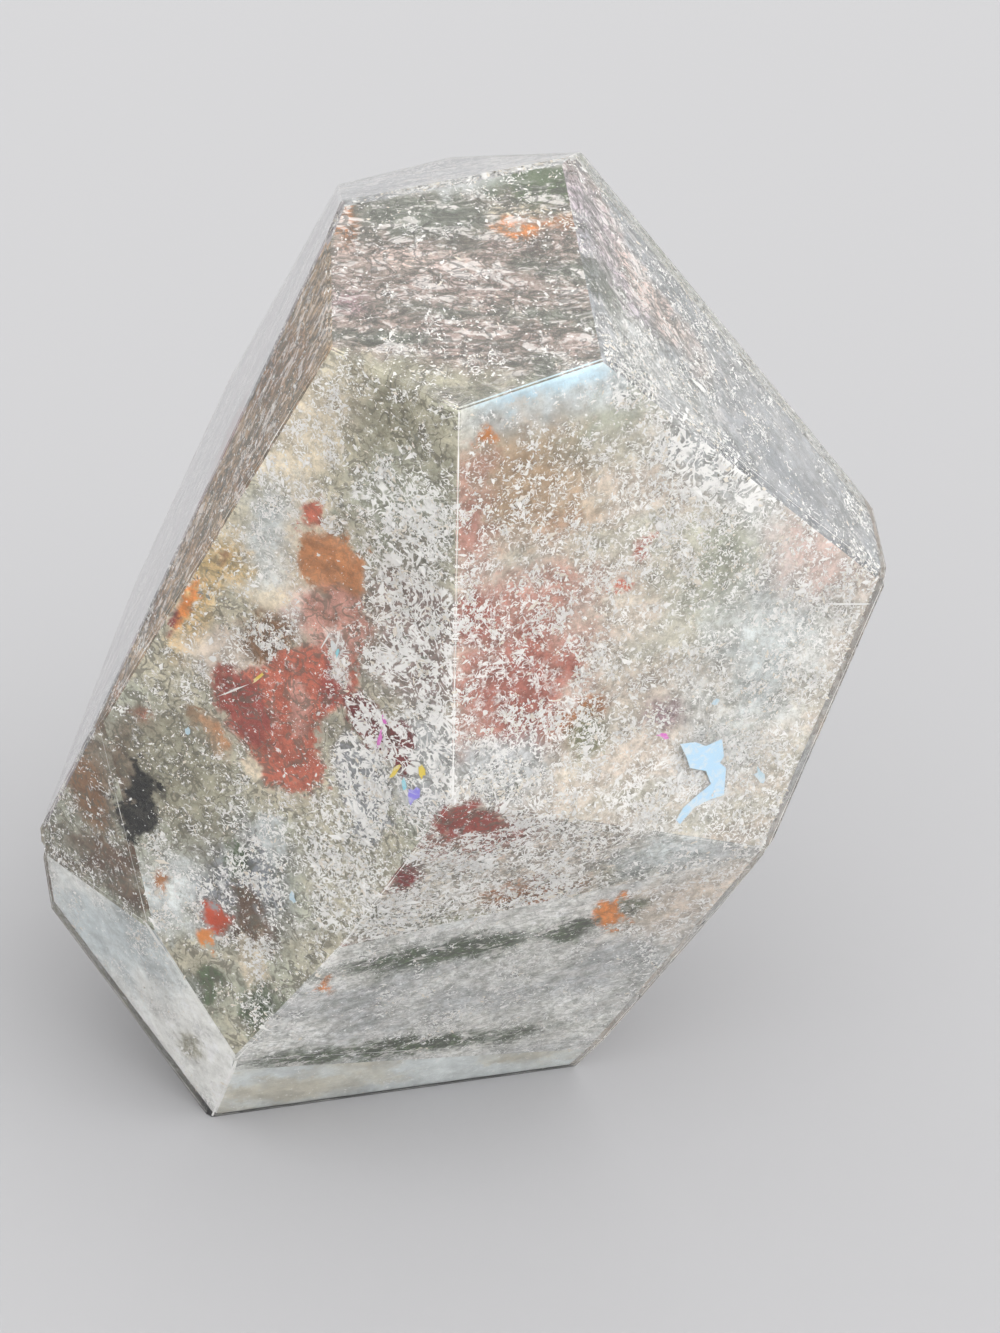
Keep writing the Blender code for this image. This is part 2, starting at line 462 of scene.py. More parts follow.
def facet_at(pixel):
    """Number of the facet that shows at a pixel of the photograph."""
    _, outward, _, _ = SURFACE.ray_cast(CAMERA.location, sight(pixel))
    return int(np.argmax(OUTWARDS @ np.array(outward)))


PATCH_FACETS = [facet_at(row[1]) for row in PATCHES]


def patch_reach(points, pixel, half, angle):
    """How far each point lies from the middle of a patch, where 1 is the patch's edge."""
    turn = CAMERA.matrix_world.to_quaternion()
    right, up, back = (np.array(turn @ Vector(axis)) for axis in ((1, 0, 0), (0, 1, 0), (0, 0, 1)))
    away = points - np.array(seen(pixel, PATCH_COVER))
    across, along, into = away @ right, away @ up, away @ back
    cosine, sine = math.cos(math.radians(angle)), math.sin(math.radians(angle))
    x = (across * cosine + along * sine) / (half[0] * PIXEL)
    y = (along * cosine - across * sine) / (half[1] * PIXEL)
    z = into / (PATCH_DEPTH * MM)
    return np.sqrt(x * x + y * y + z * z)


def outline_depth(points, outline):
    """How far each point lies inside an outline, in photo pixels."""
    corners = np.array(outline, float)
    middle = corners.mean(axis=0)
    start_point = seen(middle, PATCH_COVER)
    turn = CAMERA.matrix_world.to_quaternion()
    right, up, back = (turn @ Vector(axis) for axis in ((1, 0, 0), (0, 1, 0), (0, 0, 1)))
    pixel_here = PIXEL * (CAMERA.location - start_point).dot(back) / CAMERA_REACH
    away = points - np.array(start_point)
    at = middle + np.stack([away @ np.array(right), -(away @ np.array(up))], axis=1) / pixel_here
    nearest = np.full(len(points), np.inf)
    inside = np.zeros(len(points), bool)
    for start, end in zip(corners, np.roll(corners, -1, axis=0)):
        way = end - start
        share = np.clip((at - start) @ way / (way @ way), 0, 1)[:, None]
        nearest = np.minimum(nearest, np.linalg.norm(at - start - share * way, axis=1))
        crossing = start[0] + (at[:, 1] - start[1]) * way[0] / (way[1] or 1.0)
        inside ^= ((start[1] > at[:, 1]) != (end[1] > at[:, 1])) & (at[:, 0] < crossing)
    return np.where(inside, nearest, -nearest)


BODY_FACETS = [{facet_at(pixel) for pixel in row[3]} for row in BODIES]


def inclusions(points, facet):
    """Colour of the inclusions at points behind one facet, and their frost, dark grain, calm and streaks."""
    look = FACET_LOOKS[facet]
    layers = cloud(points, (7.0, 7.0, 3.2), 71, octaves=5)[:, None]
    colour = COLOURS[look.main] + (COLOURS[look.second] - COLOURS[look.main]) * ramp(layers, -0.2, 0.4)
    grain = np.broadcast_to(np.array(GRAINS[look.grain]), (len(points), 4))
    wobble = cloud(points, 3.0, 61, octaves=5)
    for (name, pixel, half, angle, soft, kind), patch_facet in zip(PATCHES, PATCH_FACETS):
        if patch_facet != facet:
            continue
        far = patch_reach(points, pixel, half, angle)
        uneven = far + (0.3 + 0.6 * soft) * wobble
        strength = 1 - ramp(uneven, 1 - 0.6 * soft, 1.05 + 0.5 * soft)[:, None]
        colour = colour + (COLOURS[name] - colour) * strength
        if kind:
            grain = grain + (np.array(GRAINS[kind]) - grain) * strength
    for (name, kind, soft, outline), body_facets in zip(BODIES, BODY_FACETS):
        if facet in body_facets:
            uneven = outline_depth(points, outline) + 1.6 * soft * wobble
            strength = ramp(uneven, -0.6 * soft, 0.6 * soft)[:, None]
            colour = colour + (COLOURS[name] - colour) * strength
            grain = grain + (np.array(GRAINS[kind]) - grain) * strength
    colour = colour * (1 + 0.35 * cloud(points, 3.0, 81)[:, None] + 0.3 * cloud(points, 1.1, 85)[:, None])
    thicker = FROST_SWELL * cloud(points, 9.0, 99)[:, None] * np.array((1, 0, 0, 0))
    return colour, grain + thicker


# Materials

class Nodes:
    """A material's nodes, added one at a time."""

    def __init__(self, name):
        self.material = bpy.data.materials.new(name)
        self.material.use_nodes = True
        self.tree = self.material.node_tree
        self.shader = self.tree.nodes["Principled BSDF"]

    def add(self, kind, inputs=None, **settings):
        node = self.tree.nodes.new("ShaderNode" + kind)
        for name, value in settings.items():
            setattr(node, name, value)
        for socket, value in (inputs or {}).items():
            self.put(node.inputs[socket], value)
        return node

    def put(self, socket, value):
        if isinstance(value, bpy.types.NodeSocket):
            self.tree.links.new(value, socket)
        else:
            socket.default_value = value

    def set(self, **inputs):
        for name, value in inputs.items():
            self.put(self.shader.inputs[name.replace("_", " ")], value)

    def math(self, operation, *values):
        node = self.add("Math", operation=operation)
        for socket, value in zip(node.inputs, values):
            self.put(socket, value)
        return node.outputs[0]

    def noise(self, size, detail=4.0, roughness=0.6, distortion=0.0, along=None, length=1.0):
        """Noise with lumps of about this size in mm, drawn out to a length along a direction."""
        place = self.add("Mapping", vector_type="TEXTURE")
        self.put(place.inputs["Vector"], self.add("TexCoord").outputs["Object"])
        self.put(place.inputs["Scale"], (size * MM * length, size * MM, size * MM))
        if along:
            self.put(place.inputs["Rotation"], along.to_track_quat("X", "Z").to_euler())
        noise = self.add("TexNoise", {"Vector": place.outputs[0], "Scale": 1.0, "Detail": detail,
                                      "Roughness": roughness, "Distortion": distortion})
        return noise.outputs["Fac"]

    def curls(self, size, width):
        """Short curly lines."""
        field = self.noise(size, 2.0, distortion=0.9)
        line = self.math("ABSOLUTE", self.math("SUBTRACT", field, 0.5))
        gaps = self.step(self.noise(size * 0.9, 2.0), 0.40, 0.48)
        return self.math("MULTIPLY", self.step(line, width, 0.4 * width), gaps)

    def channels(self, layer):
        """The red, green and blue parts of a layer of painted colour."""
        split = self.add("SeparateColor")
        self.put(split.inputs[0], self.add("VertexColor", layer_name=layer).outputs["Color"])
        return list(split.outputs)

    def step(self, value, low, high):
        node = self.add("MapRange", interpolation_type="SMOOTHSTEP")
        self.put(node.inputs["Value"], value)
        self.put(node.inputs["From Min"], low)
        self.put(node.inputs["From Max"], high)
        return node.outputs[0]

    def mix(self, share, first, second, blend="MIX"):
        node = self.add("Mix", data_type="RGBA", blend_type=blend)
        self.put(node.inputs["Factor"], share)
        self.put(node.inputs[6], first)
        self.put(node.inputs[7], second)
        return node.outputs[2]


# Colour and density, per metre, of the light that the clear quartz lets through
QUARTZ_TINT = (0.86, 0.90, 0.88, 1)
QUARTZ_DENSITY = 6.0


def quartz_material():
    nodes = Nodes("clear quartz")
    nodes.set(Base_Color=(1, 1, 1, 1), Roughness=0.0, IOR=QUARTZ_IOR, Transmission_Weight=1.0)
    absorb = nodes.add("VolumeAbsorption", {"Color": QUARTZ_TINT, "Density": QUARTZ_DENSITY})
    output = nodes.tree.nodes["Material Output"]
    nodes.tree.links.new(absorb.outputs[0], output.inputs["Volume"])
    return nodes.material


# Colours in the cloud's material: two shades that its own colour is multiplied by, and what lies over it
SHADE_LOW = (0.66, 0.65, 0.62, 1)
SHADE_HIGH = (1.16, 1.16, 1.16, 1)
SPECK_COLOUR = (0.14, 0.13, 0.10, 1)
DARK_STREAK = (0.10, 0.11, 0.09, 1)
PALE_STREAK = (0.88, 0.84, 0.82, 1)
LINE_COLOUR = (0.08, 0.08, 0.07, 1)
# Painted shadow that darkens the colour under the frost veil
VEIL_SHADOW = (0.76, 0.76, 0.76, 1)
CURL_COLOUR = (0.97, 0.96, 0.94, 1)
DOT_COLOUR = (0.97, 0.97, 0.96, 1)


def mottled_colour(nodes, lively):
    """The painted colour, mixed with the one painted beside it, and shaded unevenly."""
    near = nodes.add("VertexColor", layer_name="tint").outputs["Color"]
    beside = nodes.add("VertexColor", layer_name="tint_beside").outputs["Color"]
    pick = nodes.step(nodes.noise(0.8, 4.0, roughness=0.75), 0.44, 0.56)
    colour = nodes.mix(pick, near, beside)
    mottle = nodes.step(nodes.noise(1.0, 4.0, roughness=0.85), 0.33, 0.63)
    shade = nodes.mix(mottle, SHADE_LOW, SHADE_HIGH)
    return nodes.mix(lively, colour, shade, "MULTIPLY")


def add_specks(nodes, colour, dark, lively):
    """Dark specks and fine dark curls."""
    specks = nodes.noise(0.7, 4.0, roughness=0.75, distortion=1.4)
    specks = nodes.step(nodes.math("ADD", specks, nodes.math("MULTIPLY", dark, -0.10)), 0.31, 0.25)
    ink = nodes.math("MULTIPLY", nodes.curls(1.5, 0.06), dark)
    specks = nodes.math("MAXIMUM", specks, ink)
    specks = nodes.math("MULTIPLY", specks, nodes.math("MULTIPLY", lively, 0.72))
    return nodes.mix(specks, colour, SPECK_COLOUR)


def add_streaks(nodes, colour, along, share):
    """Dark and pale bands in two sizes, and thin dark lines, drawn out along one direction."""
    for size, length in ((0.55, 2.6), (1.20, 2.8)):
        band = nodes.noise(size, 3.0, roughness=0.65, distortion=1.0, along=along, length=length)
        low = nodes.math("MULTIPLY", nodes.step(band, 0.47, 0.40), share)
        high = nodes.math("MULTIPLY", nodes.step(band, 0.55, 0.62), share)
        colour = nodes.mix(nodes.math("MULTIPLY", low, 0.65), colour, DARK_STREAK)
        colour = nodes.mix(nodes.math("MULTIPLY", high, 0.75), colour, PALE_STREAK)
    field = nodes.noise(1.5, 3.0, roughness=0.6, distortion=1.8, along=along, length=1.8)
    line = nodes.step(nodes.math("ABSOLUTE", nodes.math("SUBTRACT", field, 0.5)), 0.045, 0.020)
    line = nodes.math("MULTIPLY", nodes.math("MULTIPLY", line, share), 0.75)
    return nodes.mix(line, colour, LINE_COLOUR)


def add_frost(nodes, colour, frost):
    """Painted shadow where a veil of frost lies, with pale curls on it, and pale dots."""
    veil_and_shadow = nodes.noise(2.4, 5.0, roughness=0.75)
    veil_and_shadow = nodes.step(nodes.math("ADD", veil_and_shadow, nodes.math("MULTIPLY", frost, 0.26)), 0.55, 0.68)
    # Painted shadow: the colour is darkened where the frost veil lies, so that its curls stand out
    colour = nodes.mix(veil_and_shadow, colour, VEIL_SHADOW, "MULTIPLY")
    bold = nodes.math("MULTIPLY", nodes.curls(1.9, 0.06), nodes.step(frost, 0.70, 0.90))
    medium = nodes.math("MULTIPLY", nodes.curls(1.15, 0.055), nodes.step(frost, 0.45, 0.65))
    small = nodes.math("MULTIPLY", nodes.curls(0.75, 0.055), nodes.step(frost, 0.90, 0.70))
    curls = nodes.math("MAXIMUM", medium, small)
    curls = nodes.math("MAXIMUM", curls, nodes.step(nodes.noise(0.42, 2.0), 0.64, 0.68))
    curls = nodes.math("MAXIMUM", curls, bold)
    colour = nodes.mix(nodes.math("MULTIPLY", curls, veil_and_shadow), colour, CURL_COLOUR)
    dots = nodes.step(nodes.noise(0.50, 2.0), 0.68, 0.71)
    return nodes.mix(nodes.math("MULTIPLY", dots, 0.9), colour, DOT_COLOUR)


def cloud_material():
    nodes = Nodes("inclusions")
    frost, dark, calm = nodes.channels("grain")
    frost = nodes.math("SUBTRACT", nodes.math("MULTIPLY", frost, 2.0), 1.0)
    lively = nodes.math("SUBTRACT", 1.0, nodes.math("MULTIPLY", calm, 0.75))
    colour = mottled_colour(nodes, lively)
    colour = add_specks(nodes, colour, dark, lively)
    for along, share in zip(STREAKS, nodes.channels("streak")):
        colour = add_streaks(nodes, colour, along, share)
    colour = add_frost(nodes, colour, frost)
    nodes.set(Base_Color=colour, Roughness=0.5)
    height = nodes.noise(0.7, 3.0, roughness=0.75)
    bump = nodes.add("Bump", {"Height": height, "Strength": 0.5, "Distance": 0.3 * MM})
    nodes.set(Normal=bump.outputs[0])
    return nodes.material


def plate_material(name, colour):
    """A thin flat crystal, with paler parts."""
    nodes = Nodes(name)
    paler = nodes.step(nodes.noise(0.9, 4.0, roughness=0.7, distortion=1.0), 0.45, 0.65)
    colour = np.array(colour)
    nodes.set(Base_Color=nodes.mix(paler, (*colour, 1), (*(0.45 * colour + 0.5), 1)), Roughness=0.35)
    return nodes.material


def plain_material(name, colour, roughness):
    nodes = Nodes(name)
    nodes.set(Base_Color=(*colour, 1), Roughness=roughness)
    return nodes.material


# Pieces

def place_piece(name, mesh):
    """A mesh as a piece of the stone."""
    piece = bpy.data.objects.new(name, mesh)
    bpy.context.scene.collection.objects.link(piece)
    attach(piece, "root")
    return piece


def make_piece(name, verts, faces, materials):
    mesh = bpy.data.meshes.new(name)
    mesh.vertices.add(len(verts))
    mesh.vertices.foreach_set("co", np.asarray(verts, np.float32).ravel())
    faces = np.asarray(faces, np.int32)
    mesh.loops.add(faces.size)
    mesh.loops.foreach_set("vertex_index", faces.ravel())
    mesh.polygons.add(len(faces))
    mesh.polygons.foreach_set("loop_start", np.arange(0, faces.size, faces.shape[1], dtype=np.int32))
    mesh.update(calc_edges=True)
    mesh.validate()
    for material in materials:
        mesh.materials.append(material)
    mesh.shade_flat()
    return place_piece(name, mesh)


# Distance between the cloud's points, in mm, behind facets that the camera sees and behind the others
FINE_GRID = 0.34
COARSE_GRID = 0.62

# Row height and distance from the outline of the points inside a facet, as shares of that distance
ROW_HEIGHT = 0.866
NET_MARGIN = 0.6

# The block that the cloud's facets are cut from
BLOCK_SIZE = 200 * MM


def grid_size(outward):
    return FINE_GRID if outward.dot(CAMERA.location - HEART) > 0 else COARSE_GRID


def cut_block():
    """A block with the stone's facets, as large as the stone without its clear rim."""
    bm = bmesh.new()
    bmesh.ops.create_cube(bm, size=BLOCK_SIZE, matrix=Matrix.Translation(HEART))
    for outward, reach in zip(OUTWARDS, DISTANCES - RIMS):
        outward = Vector(outward)
        everything = bm.verts[:] + bm.edges[:] + bm.faces[:]
        cut = bmesh.ops.bisect_plane(
            bm, geom=everything, dist=1e-7, plane_co=HEART + outward * reach, plane_no=outward,
            clear_outer=True)
        rim = [item for item in cut["geom_cut"] if isinstance(item, bmesh.types.BMEdge)]
        bmesh.ops.contextual_create(bm, geom=rim)
    bmesh.ops.recalc_face_normals(bm, faces=bm.faces)
    bm.verts.index_update()
    return bm


def points_inside(corners, outward, size):
    """An even net of points inside a flat polygon, and the polygon's own two directions."""
    along = (corners[1] - corners[0]).normalized()
    across = outward.cross(along)
    reaches = [corner - corners[0] for corner in corners]
    flat = np.array([(reach.dot(along), reach.dot(across)) for reach in reaches])
    low, high = flat.min(axis=0), flat.max(axis=0)
    rows = np.arange(low[1], high[1], size * ROW_HEIGHT)
    columns = np.arange(low[0], high[0], size)
    net = np.array([(x + size / 2 * (number % 2), y) for number, y in enumerate(rows) for x in columns])
    keep = np.ones(len(net), bool)
    for start, end in zip(flat, np.roll(flat, -1, axis=0)):
        way = (end - start) / np.linalg.norm(end - start)
        keep &= (net - start) @ np.array((-way[1], way[0])) > NET_MARGIN * size
    net = net[keep]
    return np.array(corners[0]) + net[:, :1] * np.array(along) + net[:, 1:] * np.array(across), along, across


def cloud_net():
    """Points all over the cut block, and the facet, point numbers and triangles of each of its faces."""
    bm = cut_block()
    points = [np.array(vert.co) for vert in bm.verts]
    on_edge = {}
    for edge in bm.edges:
        start, end = (vert.co for vert in edge.verts)
        finer = MM * min(grid_size(face.normal) for face in edge.link_faces)
        steps = max(1, round(edge.calc_length() / finer))
        on_edge[edge] = list(range(len(points), len(points) + steps - 1))
        points += [np.array(start.lerp(end, step / steps)) for step in range(1, steps)]
    sheets = []
    for face in bm.faces:
        outline = []
        for loop in face.loops:
            inner = on_edge[loop.edge]
            outline += [loop.vert.index] + (inner if loop.edge.verts[0] == loop.vert else inner[::-1])
        corners = [loop.vert.co for loop in face.loops]
        inside, along, across = points_inside(corners, face.normal, grid_size(face.normal) * MM)
        numbers = np.array(outline + list(range(len(points), len(points) + len(inside))))
        points += list(inside)
        here = np.array([points[number] for number in numbers]) - np.array(corners[0])
        pairs = np.stack([here @ np.array(along), here @ np.array(across)], axis=1) / MM
        flat = [Vector(pair) for pair in pairs]
        rim = [(number, (number + 1) % len(outline)) for number in range(len(outline))]
        _, _, triangles, sources, _, _ = delaunay_2d_cdt(flat, rim, [], 1, 1e-5)
        triangles = np.array([[sources[corner][0] for corner in triangle] for triangle in triangles])
        facet = int(np.argmax(OUTWARDS @ np.array(face.normal)))
        sheets.append((facet, numbers, triangles))
    bm.free()
    return np.array(points), sheets


def paint(piece, name, values):
    """A layer of colour, with one row of values for each corner of each face."""
    layer = piece.data.color_attributes.new(name, "FLOAT_COLOR", "CORNER")
    values = np.concatenate([values, np.ones((len(values), 1))], axis=1)
    layer.data.foreach_set("color", np.clip(values, 0, 1).astype(np.float32).ravel())


def make_cloud():
    net, sheets = cloud_net()
    inward = np.array(HEART) - net
    inward /= np.linalg.norm(inward, axis=1)[:, None]
    points = net + inward * relief(net)[:, None]
    beside = points + MM * np.stack([smooth_noise(points, 0.9, seed) for seed in (201, 202, 203)], axis=1)
    faces, layers = [], {"tint": [], "tint_beside": [], "grain": [], "streak": []}
    for facet, numbers, triangles in sheets:
        faces.append(numbers[triangles])
        colour, grain = inclusions(points[numbers], facet)
        layers["tint"].append(colour[triangles.ravel()])
        layers["tint_beside"].append(inclusions(beside[numbers], facet)[0][triangles.ravel()])
        grain = grain[triangles.ravel()]
        layers["grain"].append(np.stack([0.5 + 0.5 * grain[:, 0], grain[:, 1], grain[:, 2]], axis=1))
        layers["streak"].append(grain[:, 3:] * np.array(FACET_LOOKS[facet].streak))
    faces = np.concatenate(faces)
    piece = make_piece("inclusion_cloud", points, faces, [cloud_material()])
    for name, values in layers.items():
        paint(piece, name, np.concatenate(values))
    piece.data.shade_smooth()
    grain = np.concatenate(layers["grain"]).reshape(-1, 3, 3).mean(axis=1)
    facets = np.concatenate([np.full(len(triangles), facet) for facet, _, triangles in sheets])
    return points[faces], grain, facets


# Flakes: small shards on the cloud. Sizes are in mm, and FLOW is how well they line up with the streaks
FLAKES = 144_000
FLAKES_A_PIECE = 48_000
FLAKE_SIZE = 0.098
FLAKE_LIFT = 0.12
FLAKE_COVER = 0.12
FLAKE_LEAN = 0.35
FLOW = 1.6

# Name, colour and roughness of the pale, cream and dark flakes
FLAKE_LOOKS = (
    ("white flake", (0.96, 0.95, 0.93), 0.35),
    ("cream flake", (0.84, 0.78, 0.69), 0.45),
    ("grey flake", (0.26, 0.26, 0.22), 0.5),
)


def flake_places(corners, grain, facets):
    """Random places on the cloud, in clumps and curls, each with its facet, frost and dark grain."""
    middle = corners.mean(axis=1)
    area = np.linalg.norm(np.cross(corners[:, 1] - corners[:, 0], corners[:, 2] - corners[:, 0]), axis=1)
    frost = np.clip(2 * grain[:, 0] - 1, 0, 0.65)
    clumps = 0.05 + ramp(cloud(middle, 2.6, 91), -0.15, 0.35)
    curls = 0.15 + 1 - ramp(np.abs(cloud(middle, 1.4, 95, octaves=3)), 0.02, 0.14)
    facing = (np.array(CAMERA.location - HEART) @ OUTWARDS.T > 0)[facets]
    weight = area * (0.04 + frost) * clumps * curls * np.where(facing, 1.0, 0.5)
    chosen = rng.choice(len(area), FLAKES, p=weight / weight.sum())
    shares = rng.dirichlet((1, 1, 1), FLAKES)
    places = (corners[chosen] * shares[:, :, None]).sum(axis=1)
    places += OUTWARDS[facets[chosen]] * rng.uniform(0, FLAKE_LIFT * MM, (FLAKES, 1))
    return places, facets[chosen], frost[chosen], grain[chosen, 1]


def make_flakes(name, places, facets, frost, materials, tones):
    """Small flat shards of four corners, closed all round, that lean a little out of their facet's plane."""
    count = len(places)
    flat = OUTWARDS[facets] + FLAKE_LEAN * rng.normal(size=(count, 3))
    flat /= np.linalg.norm(flat, axis=1)[:, None]
    flow = np.array([look.streak for look in FACET_LOOKS]) @ np.array(STREAKS)
    side = FLOW * flow[facets] + rng.normal(size=(count, 3))
    side -= flat * (side * flat).sum(axis=1)[:, None]
    side /= np.linalg.norm(side, axis=1)[:, None]
    other = np.cross(flat, side)
    size = FLAKE_SIZE * MM * ((0.5 + 0.9 * frost) * rng.lognormal(0.0, 0.5, count))[:, None]
    longer = rng.uniform(1.0, 3.0, count)[:, None]
    thick = rng.uniform(0.06, 0.20, count)[:, None]
    corners = []
    for turn, lift in ((0, 1), (1, -1), (2, 1), (3, -1)):
        angle = turn * math.pi / 2 + rng.uniform(-0.5, 0.5, count)[:, None]
        reach = size * rng.uniform(0.45, 0.8, count)[:, None]
        corners.append(places + reach * (np.cos(angle) * side * longer + np.sin(angle) * other
                                         + lift * thick * flat))
    verts = np.stack(corners, axis=1)
    covered = depths(verts.reshape(-1, 3)).min(axis=1).reshape(-1, 4).min(axis=1) > FLAKE_COVER * MM
    verts = verts[covered].reshape(-1, 3)
    first = np.arange(0, len(verts), 4)[:, None]
    sides = ((0, 1, 2), (0, 2, 3), (0, 3, 1), (1, 3, 2))
    faces = np.concatenate([first + np.array(row) for row in sides], axis=1)
    piece = make_piece(name, verts, faces.reshape(-1, 3), materials)
    piece.data.polygons.foreach_set("material_index", np.repeat(tones[covered], 4).astype(np.int32))


def make_all_flakes(corners, grain, facets):
    places, facets, frost, dark = flake_places(corners, grain, facets)
    materials = [plain_material(*look) for look in FLAKE_LOOKS]
    tones = rng.choice(2, FLAKES, p=(0.8, 0.2))
    tones = np.where(rng.random(FLAKES) < 0.15 * (dark - 0.3), 2, tones)
    for number in range(0, FLAKES, FLAKES_A_PIECE):
        part = slice(number, number + FLAKES_A_PIECE)
        name = f"flakes_{number // FLAKES_A_PIECE + 1}"
        make_flakes(name, places[part], facets[part], frost[part], materials, tones[part])


# Painted edge highlights, which also stand for wear of the polish: fine pale lines where facets meet. Sizes
# are in mm
EDGE_COVER = 0.22
EDGE_THICKNESS = 0.075
EDGE_STEP = 0.5
LEAST_EDGE = 3.0
EDGE_HIGHLIGHT_COLOUR = (0.93, 0.92, 0.90)

# Sine of the least angle between two facets that meet in an edge
LEAST_SINE = 0.02

# The facet at the top of the front, whose edges get no painted highlight lines
FACET_WITHOUT_EDGE_LINES = facet_at((470, 280))


def facet_edges():
    """End points and inward directions of the straight edges where the facets with painted highlight lines
    meet.
    """
    lined_facets = [number for number in range(len(OUTWARDS)) if number != FACET_WITHOUT_EDGE_LINES]
    for first, second in combinations(lined_facets, 2):
        along = np.cross(OUTWARDS[first], OUTWARDS[second])
        length = np.linalg.norm(along)
        if length < LEAST_SINE:
            continue
        rows = np.array([OUTWARDS[first], OUTWARDS[second], along])
        start = np.linalg.solve(rows, [DISTANCES[first], DISTANCES[second], 0])
        along = along / length
        low, high = -1.0, 1.0
        for other in set(range(len(OUTWARDS))) - {first, second}:
            facing = OUTWARDS[other] @ along
            room = DISTANCES[other] - OUTWARDS[other] @ start
            if facing > 0:
                high = min(high, room / facing)
            elif facing < 0:
                low = max(low, room / facing)
        if high - low > LEAST_EDGE * MM:
            inward = OUTWARDS[first] + OUTWARDS[second]
            inward = -inward / np.linalg.norm(inward)
            yield start + along * low, start + along * high, inward


# Painted edge highlights: thin pale rods just inside the edges, which partly stand for wear
def make_edge_highlights_and_wear():
    verts, faces = [], []
    for low, high, inward in facet_edges():
        along = (high - low) / np.linalg.norm(high - low)
        side = np.cross(along, inward)
        count = max(4, int(np.linalg.norm(high - low) / (EDGE_STEP * MM)))
        share = np.linspace(0.01, 0.99, count)[:, None]
        middle = np.array(HEART) + low + (high - low) * share + inward * EDGE_COVER * MM
        halfway = Vector(middle[count // 2])
        nearest, outward, _, _ = SURFACE.find_nearest(halfway)
        if (halfway - nearest).dot(outward) > -EDGE_THICKNESS * MM:
            continue
        # Painted highlight lines, thicker in some places and thinner in others
        line_swell = ramp(cloud(middle, 2.2, 301), -0.25, 0.6)[:, None]
        half = EDGE_THICKNESS * MM * (0.25 + 0.75 * line_swell) / 2
        first = len(verts)
        for at, reach in zip(middle, half):
            outer = at - inward * reach
            verts += [outer + side * reach, outer - side * reach, at + inward * reach]
        for ring in range(count - 1):
            start = first + 3 * ring
            for one, two in ((0, 1), (1, 2), (2, 0)):
                faces.append((start + one, start + two, start + 3 + two))
                faces.append((start + one, start + 3 + two, start + 3 + one))
        last = first + 3 * (count - 1)
        faces += [(first, first + 2, first + 1), (last, last + 1, last + 2)]
    make_piece("edge_highlights_and_wear", verts, faces, [plain_material("edge highlight and wear", EDGE_HIGHLIGHT_COLOUR, 0.4)])


# Plates: thin flat flakes with a clear outline, and a few painted highlights and a painted glint drawn the
# same way. Depth and thickness are in mm
PLATE_COVER = 0.45
PLATE_THICKNESS = 0.05

# Outline of the blue plate, in photo pixels
BLUE_PLATE = (
    (680, 744), (695, 742), (706, 746), (722, 739), (724, 756), (720, 763), (726, 768), (724, 795),
    (711, 799), (695, 807), (680, 824), (676, 820), (683, 808), (695, 797), (711, 784), (706, 771),
    (690, 768), (686, 756))

# Small plates: colour, photo pixel of the middle, half width and half height in photo pixels, turn
PLATES = (
    ("magenta", (380, 738), (2.5, 12), -8),
    ("magenta", (384, 720), (2, 7), 20),
    ("gold", (395, 771), (9, 3), 55),
    ("gold", (421, 771), (4, 9), 20),
    ("violet", (413, 795), (6, 11), -20),
    ("cyan", (404, 783), (3, 7), 10),
    ("pale_grey", (333, 646), (3, 9), 15),
    ("cyan", (338, 652), (2, 6), -20),
    ("white", (326, 640), (1.2, 9), -30),
    ("white", (338, 640), (1.4, 10), -12),
    ("white", (232, 691), (20, 1.2), 22),
    ("gold", (258, 678), (9, 1.8), 40),
    ("white", (270, 656), (1.2, 11), -14),
    ("sky", (187, 731), (3, 5), 20),
    ("magenta", (664, 736), (9, 3), -12),
    ("white", (213, 658), (5, 4), 0),
    # Painted glint: a small pale blue spot of reflected light
    ("sky", (292, 898), (4, 6), 10),
    ("sky", (760, 776), (5, 9), 20),
    ("sky", (716, 702), (5, 3), 10),
    ("white", (845, 604), (26, 1.6), 0),
    # The last two rows are painted highlights: thin bright lines of light, drawn as white plates
    ("white", (700, 386), (1.6, 17), 46),
    ("white", (155, 937), (1.6, 20), 34),
)
PLATE_COLOURS = {
    "magenta": srgb(226, 120, 206),
    "violet": srgb(150, 140, 236),
    "gold": srgb(240, 214, 90),
    "cyan": srgb(150, 222, 236),
    "blue": srgb(198, 230, 252),
}


def small_outline(pixel, half, angle):
    """Corners of a small uneven plate, in photo pixels."""
    cosine, sine = math.cos(math.radians(angle)), math.sin(math.radians(angle))
    for corner_turn in np.arange(9) * 2 * math.pi / 9:
        swell = rng.uniform(0.5, 1.2)
        across, down = half[0] * swell * math.cos(corner_turn), half[1] * swell * math.sin(corner_turn)
        yield pixel[0] + across * cosine + down * sine, pixel[1] - across * sine + down * cosine


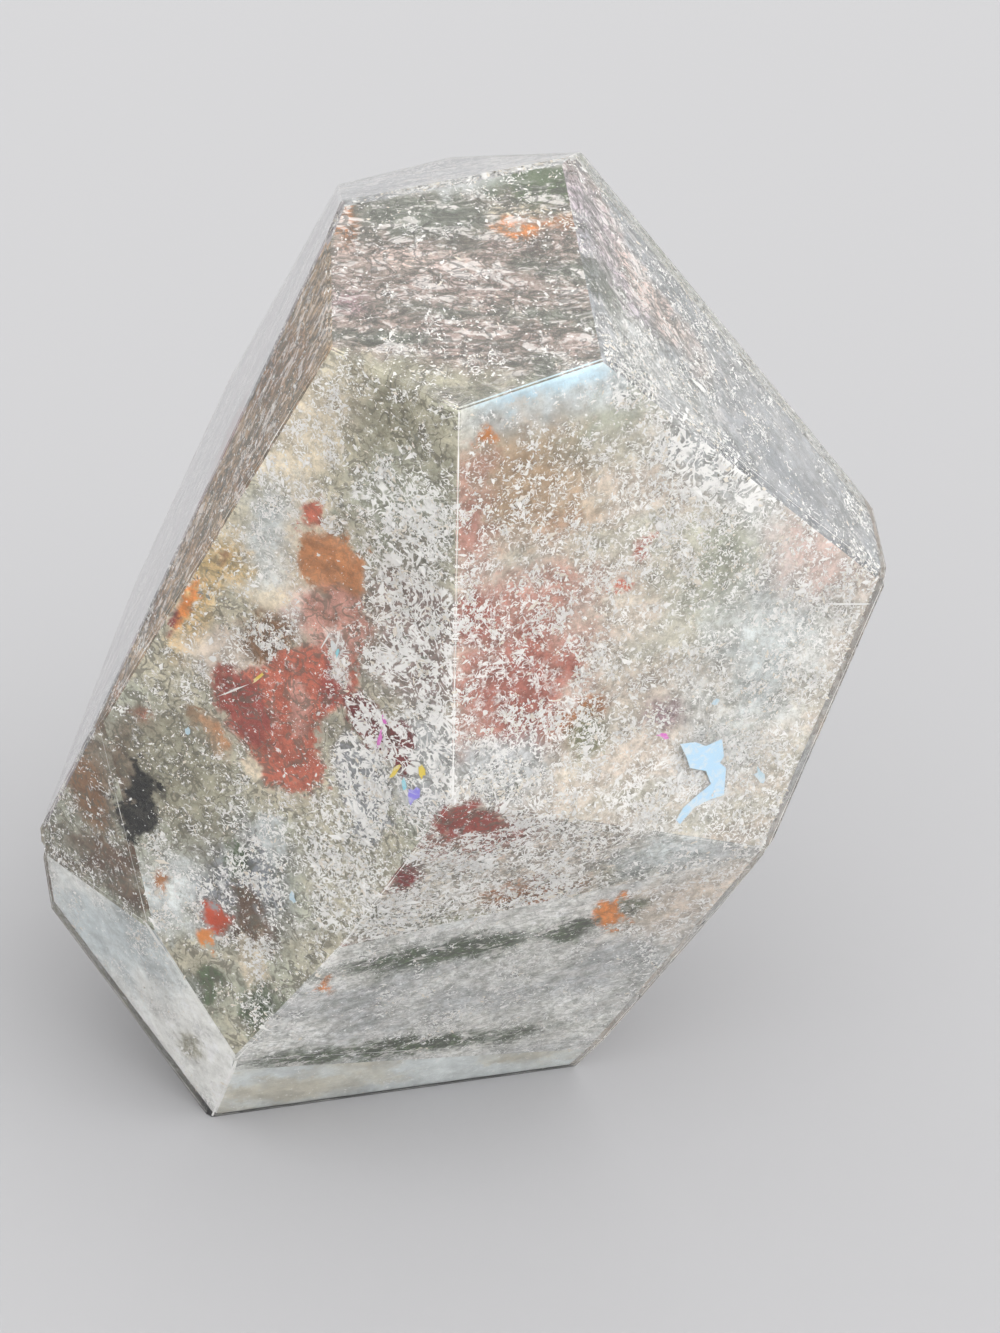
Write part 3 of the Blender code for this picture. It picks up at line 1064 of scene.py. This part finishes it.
def make_plates():
    colours = {**COLOURS, **PLATE_COLOURS}
    rows = [("blue", list(BLUE_PLATE))] + [(name, list(small_outline(*row))) for name, *row in PLATES]
    used = sorted({name for name, _ in rows})
    bm = bmesh.new()
    for name, outline in rows:
        top = [bm.verts.new(seen(pixel, PLATE_COVER)) for pixel in outline]
        low = [bm.verts.new(seen(pixel, PLATE_COVER + PLATE_THICKNESS)) for pixel in outline]
        faces = [bm.faces.new(top), bm.faces.new(low[::-1])]
        for number in range(len(outline)):
            faces.append(bm.faces.new((top[number - 1], low[number - 1], low[number], top[number])))
        for face in faces:
            face.normal_update()
            face.material_index = used.index(name)
    bmesh.ops.triangulate(bm, faces=bm.faces)
    bmesh.ops.recalc_face_normals(bm, faces=bm.faces)
    mesh = bpy.data.meshes.new("plates")
    bm.to_mesh(mesh)
    bm.free()
    for name in used:
        mesh.materials.append(plate_material(name + " plate", colours[name]))
    place_piece("plates", mesh)


# Studio

FLOOR_SIZE = 6.0
FLOOR_COLOUR = (0.30, 0.30, 0.31)
LIGHT_FROM = Vector((0.40, -0.82, 0.40)).normalized()
LIGHT_COLOUR = (1.0, 0.995, 0.985, 1)
LIGHT_ALL_ROUND = 1.33
LIGHT_AT_BRIGHTEST = 3.7


def make_floor():
    bpy.ops.mesh.primitive_plane_add(size=FLOOR_SIZE, location=(0, 0, 0))
    floor = bpy.context.object
    floor.name = "floor"
    floor.data.materials.append(plain_material("pale floor", FLOOR_COLOUR, 0.7))


def make_light():
    """Soft light from all round, with a broad brighter part low at the front right."""
    world = bpy.data.worlds.new("studio")
    bpy.context.scene.world = world
    world.use_nodes = True
    tree = world.node_tree
    background = tree.nodes["Background"]
    place = tree.nodes.new("ShaderNodeTexCoord")
    facing = tree.nodes.new("ShaderNodeVectorMath")
    facing.operation = "DOT_PRODUCT"
    tree.links.new(place.outputs["Generated"], facing.inputs[0])
    facing.inputs[1].default_value = LIGHT_FROM
    spread = tree.nodes.new("ShaderNodeMapRange")
    spread.interpolation_type = "SMOOTHSTEP"
    tree.links.new(facing.outputs["Value"], spread.inputs["Value"])
    levels = {"From Min": 0.1, "From Max": 1.0, "To Min": LIGHT_ALL_ROUND, "To Max": LIGHT_AT_BRIGHTEST}
    for socket, value in levels.items():
        spread.inputs[socket].default_value = value
    tree.links.new(spread.outputs[0], background.inputs["Strength"])
    background.inputs["Color"].default_value = LIGHT_COLOUR


def set_bounces():
    cycles = bpy.context.scene.cycles
    cycles.max_bounces = 8
    cycles.glossy_bounces = 3
    cycles.transmission_bounces = 7
    cycles.diffuse_bounces = 2
    bpy.context.scene.view_settings.view_transform = "Standard"


STONE.data.materials.clear()
STONE.data.materials.append(quartz_material())
make_all_flakes(*make_cloud())
make_edge_highlights_and_wear()
make_plates()
make_floor()
make_light()
set_bounces()
